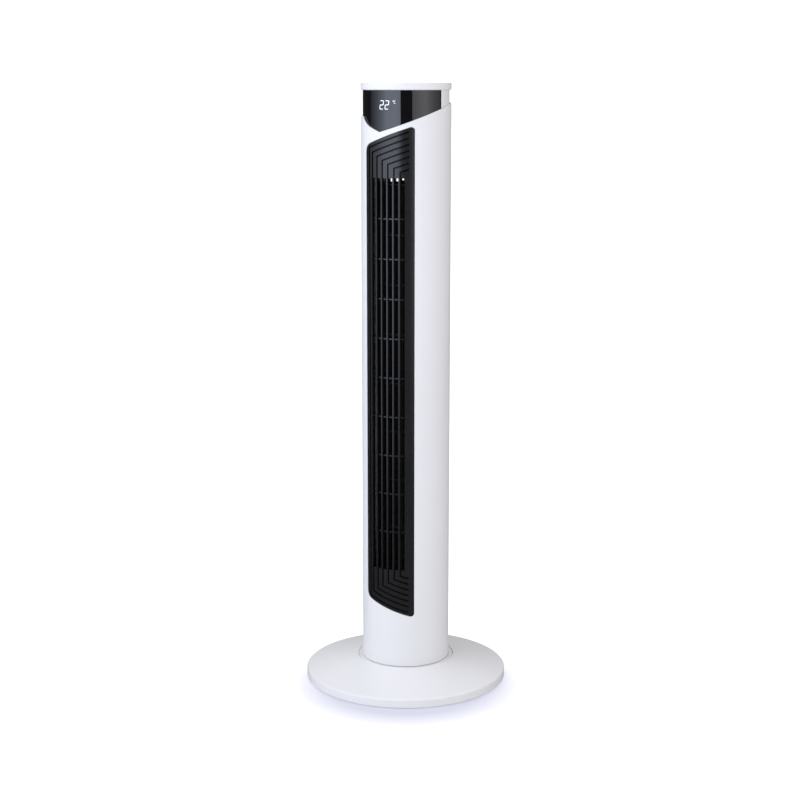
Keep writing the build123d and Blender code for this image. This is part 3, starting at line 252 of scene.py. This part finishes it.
def make_soft_box(name, turns, distances, radiance, colour, profile):
    """Upright soft box standing on the floor. Its turns are measured from the camera's direction."""
    near, far = [polar(CAMERA_TURN + turn, distance) for turn, distance in zip(turns, distances)]
    width = (far - near).length
    data = new_area_light(name, width, BOX_HEIGHT, radiance * width * BOX_HEIGHT * pi, colour)
    data.use_nodes = True
    tree = data.node_tree
    place = tree.nodes.new("ShaderNodeNewGeometry")
    split = tree.nodes.new("ShaderNodeSeparateXYZ")
    tree.links.new(place.outputs["Parametric"], split.inputs[0])
    left_of_camera = turns[1] < turns[0]
    ends = (1.0, 0.0) if left_of_camera else (0.0, 1.0)
    across = remap(tree, split.outputs["X"], *ends, source=(0.0, 1.0))
    ramp = tree.nodes.new("ShaderNodeValToRGB")
    stops = ramp.color_ramp.elements
    while len(stops) < len(profile):
        stops.new(0.5)
    for stop, (spot, strength) in zip(stops, profile):
        stop.position = spot
        stop.color = (strength, strength, strength, 1.0)
    tree.links.new(across, ramp.inputs[0])
    upward = remap(tree, split.outputs["Y"], BOX_FOOT, 1.0, source=(0.0, BOX_FULL))
    both = tree.nodes.new("ShaderNodeMath")
    both.operation = "MULTIPLY"
    tree.links.new(ramp.outputs["Color"], both.inputs[0])
    tree.links.new(upward, both.inputs[1])
    tree.links.new(both.outputs[0], tree.nodes["Emission"].inputs["Strength"])
    light = add_to_scene(name, data)
    light.location = (near + far) / 2 + Vector((0, 0, BOX_HEIGHT / 2))
    normal = (far - near).normalized().cross(Vector((0, 0, 1)))
    if normal.dot(near + far) > 0:
        normal = -normal
    look_along(light, normal)


def make_panel_light(name, spot, aim, size, power, colour):
    """Soft panel that lights surfaces without showing in their reflections."""
    light = add_to_scene(name, new_area_light(name, *size, power, colour))
    light.location = spot
    look_along(light, Vector(aim) - light.location)
    light.visible_glossy = False


def make_sky():
    world = bpy.data.worlds.new("sky")
    world.use_nodes = True
    tree = world.node_tree
    background = tree.nodes["Background"]
    background.inputs["Color"].default_value = (*SKY_COLOUR, 1.0)
    rays = tree.nodes.new("ShaderNodeLightPath")
    unseen = tree.nodes.new("ShaderNodeMix")
    unseen.data_type = "FLOAT"
    tree.links.new(rays.outputs["Is Glossy Ray"], unseen.inputs[0])
    unseen.inputs[2].default_value = SKY_RADIANCE
    unseen.inputs[3].default_value = SKY_GLOSS
    strength = tree.nodes.new("ShaderNodeMix")
    strength.data_type = "FLOAT"
    tree.links.new(rays.outputs["Is Camera Ray"], strength.inputs[0])
    tree.links.new(unseen.outputs[0], strength.inputs[2])
    strength.inputs[3].default_value = SKY_SEEN
    tree.links.new(strength.outputs[0], background.inputs["Strength"])
    bpy.context.scene.world = world


def matt(tree, albedo):
    """Plain matt grey shader."""
    shader = tree.nodes.new("ShaderNodeBsdfDiffuse")
    shader.inputs["Color"].default_value = (albedo, albedo, albedo, 1.0)
    return shader.outputs[0]


def either_shader(tree, choice, first, second):
    """The first shader where choice is 0 and the second where it is 1."""
    node = tree.nodes.new("ShaderNodeMixShader")
    tree.links.new(choice, node.inputs[0])
    tree.links.new(first, node.inputs[1])
    tree.links.new(second, node.inputs[2])
    return node.outputs[0]


def make_floor():
    """Pale floor, plain white far away, with a painted shadow in its glow round the base. It looks dark to
    reflections, as a floor past the lights does.
    """
    mesh = bpy.data.meshes.new("floor")
    corners = [(x * FLOOR_REACH, y * FLOOR_REACH, 0) for x, y in ((-1, -1), (1, -1), (1, 1), (-1, 1))]
    mesh.from_pydata(corners, [], [(0, 1, 2, 3)])
    floor = add_to_scene("floor", mesh)
    material, tree, shader = new_material("floor_white")
    tree.nodes.remove(shader)
    coordinates = tree.nodes.new("ShaderNodeTexCoord")
    # Painted shadow: the floor's glow is dimmer and lilac close to the base, centred a little towards the
    # camera
    distance = tree.nodes.new("ShaderNodeVectorMath")
    distance.operation = "DISTANCE"
    tree.links.new(coordinates.outputs["Object"], distance.inputs[0])
    distance.inputs[1].default_value = polar(CAMERA_TURN, SHADE_SHIFT)
    painted_shade_openness = remap(tree, distance.outputs["Value"], source=(SHADE_NEAR, SHADE_FAR))
    floor_glow_with_painted_shadow = tree.nodes.new("ShaderNodeEmission")
    tree.links.new(two_tones(tree, painted_shade_openness, PAINTED_SHADOW_GLOW, OPEN_GLOW), floor_glow_with_painted_shadow.inputs["Color"])
    paint = tree.nodes.new("ShaderNodeAddShader")
    tree.links.new(matt(tree, FLOOR_WHITE), paint.inputs[0])
    tree.links.new(floor_glow_with_painted_shadow.outputs[0], paint.inputs[1])
    rays = tree.nodes.new("ShaderNodeLightPath")
    bounce = matt(tree, FLOOR_BOUNCE)
    reflected = matt(tree, FLOOR_REFLECTED)
    unseen = either_shader(tree, rays.outputs["Is Glossy Ray"], bounce, reflected)
    shown = either_shader(tree, rays.outputs["Is Camera Ray"], unseen, paint.outputs[0])
    tree.links.new(shown, tree.nodes["Material Output"].inputs["Surface"])
    mesh.materials.append(material)


# ---------------------------------------------------------------- materials

def moulded_plastic(name, colour, roughness, spread, gloss=0.5):
    """Injection moulded plastic: slow tone drift, fine spark-eroded grain and uneven sheen."""
    material, tree, shader = new_material(name)
    vector = place_coordinates(tree)
    drift = noise(tree, vector, scale=9.0, detail=2.0)
    grain = noise(tree, vector, scale=1800.0, detail=2.0)
    dark = [max(0.0, channel * (1.0 - spread)) for channel in colour]
    light = [min(1.0, channel * (1.0 + spread)) for channel in colour]
    toned(tree, shader, drift, dark, light)
    roughened(tree, shader, grain, roughness - 0.05, roughness + 0.05)
    shader.inputs["Specular IOR Level"].default_value = gloss
    bumped(tree, shader, grain, distance=0.00005, strength=0.5)
    return material


def plastic_with_painted_groove_shade(name, colour, roughness, spread, gloss, groove_reach):
    """Moulded plastic with painted shade in its grooves: where they are narrower than groove_reach,
    ambient occlusion paints the colour darker and cuts the sheen.
    """
    material = moulded_plastic(name, colour, roughness, spread, gloss)
    tree = material.node_tree
    shader = tree.nodes["Principled BSDF"]
    # Painted shade: occlusion darkens the base colour and lowers the specular level in the grooves
    painted_shade_occlusion = tree.nodes.new("ShaderNodeAmbientOcclusion")
    painted_shade_occlusion.inputs["Distance"].default_value = groove_reach
    painted_shade_openness = painted_shade_occlusion.outputs["AO"]
    sheen = remap(tree, painted_shade_openness, GROOVE_PAINTED_SHADE_SHEEN * gloss, gloss, GROOVE_OPENNESS)
    tree.links.new(sheen, shader.inputs["Specular IOR Level"])
    surface = shader.inputs["Base Color"].links[0].from_socket
    painted_groove_shade = [channel * GROOVE_PAINTED_SHADE for channel in colour]
    shade = two_tones(tree, remap(tree, painted_shade_openness, source=GROOVE_OPENNESS), painted_groove_shade, colour)
    tree.links.new(surface, shade.node.inputs[7])
    tree.links.new(shade, shader.inputs["Base Color"])
    return material


def gloss_black(name, colour, roughness):
    """Polished window: near black, a faint smoke tint and the slightest waviness."""
    material, tree, shader = new_material(name)
    wave = noise(tree, place_coordinates(tree, (1.0, 1.0, 0.3)), scale=14.0, detail=1.0)
    haze = noise(tree, place_coordinates(tree), scale=260.0, detail=4.0)
    toned(tree, shader, haze, [channel * 0.8 for channel in colour], colour)
    roughened(tree, shader, haze, roughness, roughness + 0.02)
    shader.inputs["Specular IOR Level"].default_value = 1.0
    bumped(tree, shader, wave, distance=0.0002, strength=0.12)
    return material


def metal(name, colour, roughness, stretch):
    """Metal with turning or drawing marks along the stretched direction."""
    material, tree, shader = new_material(name)
    lines = noise(tree, place_coordinates(tree, stretch), scale=900.0, detail=4.0)
    stain = noise(tree, place_coordinates(tree), scale=60.0, detail=3.0)
    toned(tree, shader, stain, [channel * 0.82 for channel in colour], colour)
    roughened(tree, shader, lines, roughness - 0.08, roughness + 0.12)
    shader.inputs["Metallic"].default_value = 1.0
    bumped(tree, shader, lines, distance=0.00004, strength=0.4)
    return material


def rubber(name, colour):
    """Moulded rubber with a little dust on it and fine pores."""
    material, tree, shader = new_material(name)
    vector = place_coordinates(tree)
    dust = noise(tree, vector, scale=70.0, detail=4.0)
    pores = noise(tree, vector, scale=2400.0, detail=2.0)
    toned(tree, shader, dust, colour, [channel + 0.02 for channel in colour])
    roughened(tree, shader, dust, 0.7, 0.85)
    bumped(tree, shader, pores, distance=0.00008, strength=0.5)
    return material


def circuit_board(name):
    """Green solder resist over copper tracks."""
    material, tree, shader = new_material(name)
    vector = place_coordinates(tree)
    tracks = tree.nodes.new("ShaderNodeTexBrick")
    tracks.inputs["Scale"].default_value = 160.0
    tracks.inputs["Mortar Size"].default_value = 0.12
    tree.links.new(vector, tracks.inputs["Vector"])
    tone = two_tones(tree, tracks.outputs["Fac"], (0.02, 0.13, 0.05), (0.05, 0.24, 0.09))
    tree.links.new(tone, shader.inputs["Base Color"])
    roughened(tree, shader, noise(tree, vector, scale=300.0), 0.25, 0.4)
    bumped(tree, shader, tracks.outputs["Fac"], distance=0.00005, strength=0.5)
    return material


def glowing(name, colour, strength):
    """Lit display segment with the faint unevenness of its light guide."""
    material, tree, shader = new_material(name)
    tone = remap(tree, noise(tree, place_coordinates(tree), scale=500.0))
    dim = [channel * 0.9 for channel in colour]
    tree.links.new(two_tones(tree, tone, dim, colour), shader.inputs["Emission Color"])
    shader.inputs["Base Color"].default_value = (0.7, 0.75, 0.8, 1.0)
    shader.inputs["Emission Strength"].default_value = strength
    shader.inputs["Roughness"].default_value = 0.4
    return material


def make_materials():
    """One material for each slot of the record. A plastic's numbers are its roughness and spread."""
    plastics = {
        "white_plastic": ((0.85, 0.84, 0.835), 0.38, 0.008),
        "pocket_plastic": ((0.82, 0.81, 0.805), 0.45, 0.01),
        "button_black": ((0.025, 0.025, 0.027), 0.3, 0.1),
        "impeller_black": ((0.016, 0.016, 0.017), 0.45, 0.2),
        "inner_plastic": ((0.02, 0.02, 0.021), 0.55, 0.15),
        "plate_plastic": ((0.22, 0.22, 0.225), 0.5, 0.05),
        "acetal": ((0.78, 0.76, 0.70), 0.35, 0.02),
        "component_black": ((0.02, 0.02, 0.021), 0.3, 0.2),
    }
    metals = {
        "screw_steel": ((0.55, 0.55, 0.57), 0.32, (1.0, 1.0, 0.1)),
        "shaft_steel": ((0.62, 0.62, 0.64), 0.2, (0.1, 0.1, 1.0)),
        "motor_metal": ((0.32, 0.33, 0.35), 0.45, (1.0, 1.0, 0.2)),
        "hub_metal": ((0.68, 0.69, 0.71), 0.25, (0.1, 0.1, 1.0)),
        "bearing_bronze": ((0.55, 0.36, 0.18), 0.4, (1.0, 1.0, 1.0)),
    }
    materials = {name: moulded_plastic(name, *finish) for name, finish in plastics.items()}
    materials |= {name: metal(name, *finish) for name, finish in metals.items()}
    materials["grille_black"] = plastic_with_painted_groove_shade(
        "grille_black", (0.014, 0.0135, 0.0135), 0.24, spread=0.15, gloss=0.7, groove_reach=0.003
    )
    materials["window_black"] = gloss_black("window_black", (0.004, 0.004, 0.005), 0.02)
    materials["panel_black"] = gloss_black("panel_black", (0.006, 0.006, 0.007), 0.08)
    materials["rubber"] = rubber("rubber", (0.02, 0.02, 0.02))
    materials["board_green"] = circuit_board("board_green")
    return materials


def dress_nodes(materials):
    """Gives every CAD node the finish that its record slot names."""
    slot_of = {entry["node"]: entry["material_slot"] for entry in frame["record"]["subparts"]}
    for name, node in frame["nodes"].items():
        node.data.materials.clear()
        node.data.materials.append(materials[slot_of[name]])


# ---------------------------------------------------------------- lit digits and printed icons

def on_window(spot):
    """Point just proud of the window, x measured round its curve from the front."""
    return polar(spot[0] / WINDOW_R, WINDOW_R + MARK_THICK, spot[1])


def arc(centre, radius, start, end, steps=24):
    """Points of a flat arc between two directions in degrees, anticlockwise from +X."""
    turns = [radians(start + (end - start) * step / steps) for step in range(steps + 1)]
    return [(centre[0] + radius * cos(turn), centre[1] + radius * sin(turn)) for turn in turns]


def add_ribbon(mesh, points, width, lift):
    """Flat ribbon along points, mitred where it turns. lift puts a flat point in its place."""
    spots = [Vector(point) for point in points]
    rims = []
    for index, spot in enumerate(spots):
        steps = []
        if index > 0:
            steps.append((spot - spots[index - 1]).normalized())
        if index < len(spots) - 1:
            steps.append((spots[index + 1] - spot).normalized())
        along = sum(steps, Vector((0, 0))).normalized()
        across = Vector((-along.y, along.x)) * (width / 2) / max(0.5, along.dot(steps[0]))
        rims.append((mesh.verts.new(lift(spot + across)), mesh.verts.new(lift(spot - across))))
    for near, far in zip(rims, rims[1:]):
        mesh.faces.new((near[0], near[1], far[1], far[0]))


def add_bar(mesh, start, end, width):
    """One pointed display segment between two points on the window."""
    along = (Vector(end) - Vector(start)).normalized()
    across = Vector((-along.y, along.x)) * width / 2
    gap = along * width * SEGMENT_GAP
    point = along * width / 2
    first = Vector(start) + gap
    last = Vector(end) - gap
    outline = [
        first,
        first + point + across,
        last - point + across,
        last,
        last - point - across,
        first + point - across,
    ]
    mesh.faces.new([mesh.verts.new(on_window(spot)) for spot in outline])


def add_digit(mesh, segments, left, bottom, width, height, stroke):
    for key in segments:
        ends = []
        for x, z in SEGMENTS[key]:
            rise = z * height
            ends.append((left + x * width + rise * DIGIT_LEAN, bottom + rise))
        add_bar(mesh, ends[0], ends[1], stroke)


def make_mark(name, mesh, inwards, material, body):
    """Gives flat faces their thickness along inwards(point) and puts them on a body."""
    deeper = bmesh.ops.extrude_face_region(mesh, geom=mesh.faces[:])
    for element in deeper["geom"]:
        if isinstance(element, bmesh.types.BMVert):
            element.co += inwards(element.co) * MARK_THICK
    bmesh.ops.recalc_face_normals(mesh, faces=mesh.faces[:])
    data = bpy.data.meshes.new(name)
    mesh.to_mesh(data)
    mesh.free()
    data.materials.append(material)
    mark = add_to_scene(name, data)
    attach(mark, body)


def into_window(point):
    return -Vector((point.x, point.y, 0)).normalized()


def make_digits(material):
    """Generic two-figure temperature with a small degree ring and C."""
    mesh = bmesh.new()
    bottom = window_high[2] - DIGIT_DROP
    for place in range(2):
        left = DIGIT_LEFT + place * DIGIT_PITCH
        add_digit(mesh, TWO, left, bottom, DIGIT_WIDTH, DIGIT_HEIGHT, SEGMENT_WIDTH)
    unit_left = DIGIT_LEFT + 2 * DIGIT_PITCH + UNIT_GAP
    unit_bottom = bottom + DIGIT_HEIGHT - UNIT_HEIGHT
    add_digit(mesh, CAPITAL_C, unit_left, unit_bottom, UNIT_WIDTH, UNIT_HEIGHT, UNIT_STROKE)
    ring = arc((unit_left - DEGREE_LEFT, bottom + DIGIT_HEIGHT - DEGREE_DROP), DEGREE_R, 0, 360)
    add_ribbon(mesh, ring, DEGREE_STROKE, on_window)
    make_mark("display_digits", mesh, into_window, material, "column")


def icon_strokes():
    """Strokes of each button's icon, in millimetres from the button's middle."""
    bars = [[(1.8 * place, -2.2), (1.8 * place, -0.8 + 1.5 * (place + 1))] for place in (-1, 0, 1)]
    waves = [
        [(x / 4, rise + 0.7 * sin(x / 4 * pi / 1.6)) for x in range(-11, 12)]
        for rise in (-1.7, 0.0, 1.7)
    ]
    clock = [arc((0, 0), 2.7, 0, 360), [(0, 1.7), (0, 0), (1.3, 0)]]
    arrows = [[(-3, 0), (3, 0)], [(-1.8, 1.2), (-3, 0), (-1.8, -1.2)], [(1.8, 1.2), (3, 0), (1.8, -1.2)]]
    power = [arc((0, 0), 3.6, 120, 420), [(0, 1.2), (0, 4.4)]]
    return {
        "power_button": power,
        "speed_button": bars,
        "mode_button": waves,
        "timer_button": clock,
        "swing_button": arrows,
    }


def make_icons(material):
    """Pad-printed generic icons, one on each button."""
    for button, strokes in icon_strokes().items():
        low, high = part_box(button)
        middle = (Vector(low) + Vector(high)) / 2
        top = high[2] + MARK_THICK / 2
        mesh = bmesh.new()
        for stroke in strokes:
            points = [(middle.x + x / MM_IN_METRE, middle.y + y / MM_IN_METRE) for x, y in stroke]
            add_ribbon(mesh, points, ICON_STROKE, lambda spot: Vector((spot[0], spot[1], top)))
        piece = button.replace("button", "icon")
        make_mark(piece, mesh, lambda point: Vector((0, 0, -1)), material, button)


make_camera()
make_sky()
make_soft_box("left_box", LEFT_TURNS, LEFT_DISTANCES, LEFT_RADIANCE, LEFT_COLOUR, LEFT_PROFILE)
make_soft_box("right_box", RIGHT_TURNS, RIGHT_DISTANCES, RIGHT_RADIANCE, RIGHT_COLOUR, RIGHT_PROFILE)
make_panel_light("top_light", TOP_SPOT, TOP_AIM, TOP_SIZE, TOP_POWER, TOP_COLOUR)
fill_spot = polar(CAMERA_TURN + FILL_TURN, FILL_DISTANCE, FILL_HEIGHT)
make_panel_light("left_fill", fill_spot, FILL_AIM, FILL_SIZE, FILL_POWER, FILL_COLOUR)
make_floor()
dress_nodes(make_materials())
make_digits(glowing("digit_glow", DIGIT_COLOUR, DIGIT_GLOW))
make_icons(moulded_plastic("icon_print", ICON_COLOUR, 0.5, spread=0.04))

scene = bpy.context.scene
scene.view_settings.view_transform = "Standard"
scene.cycles.max_bounces = MAX_BOUNCES
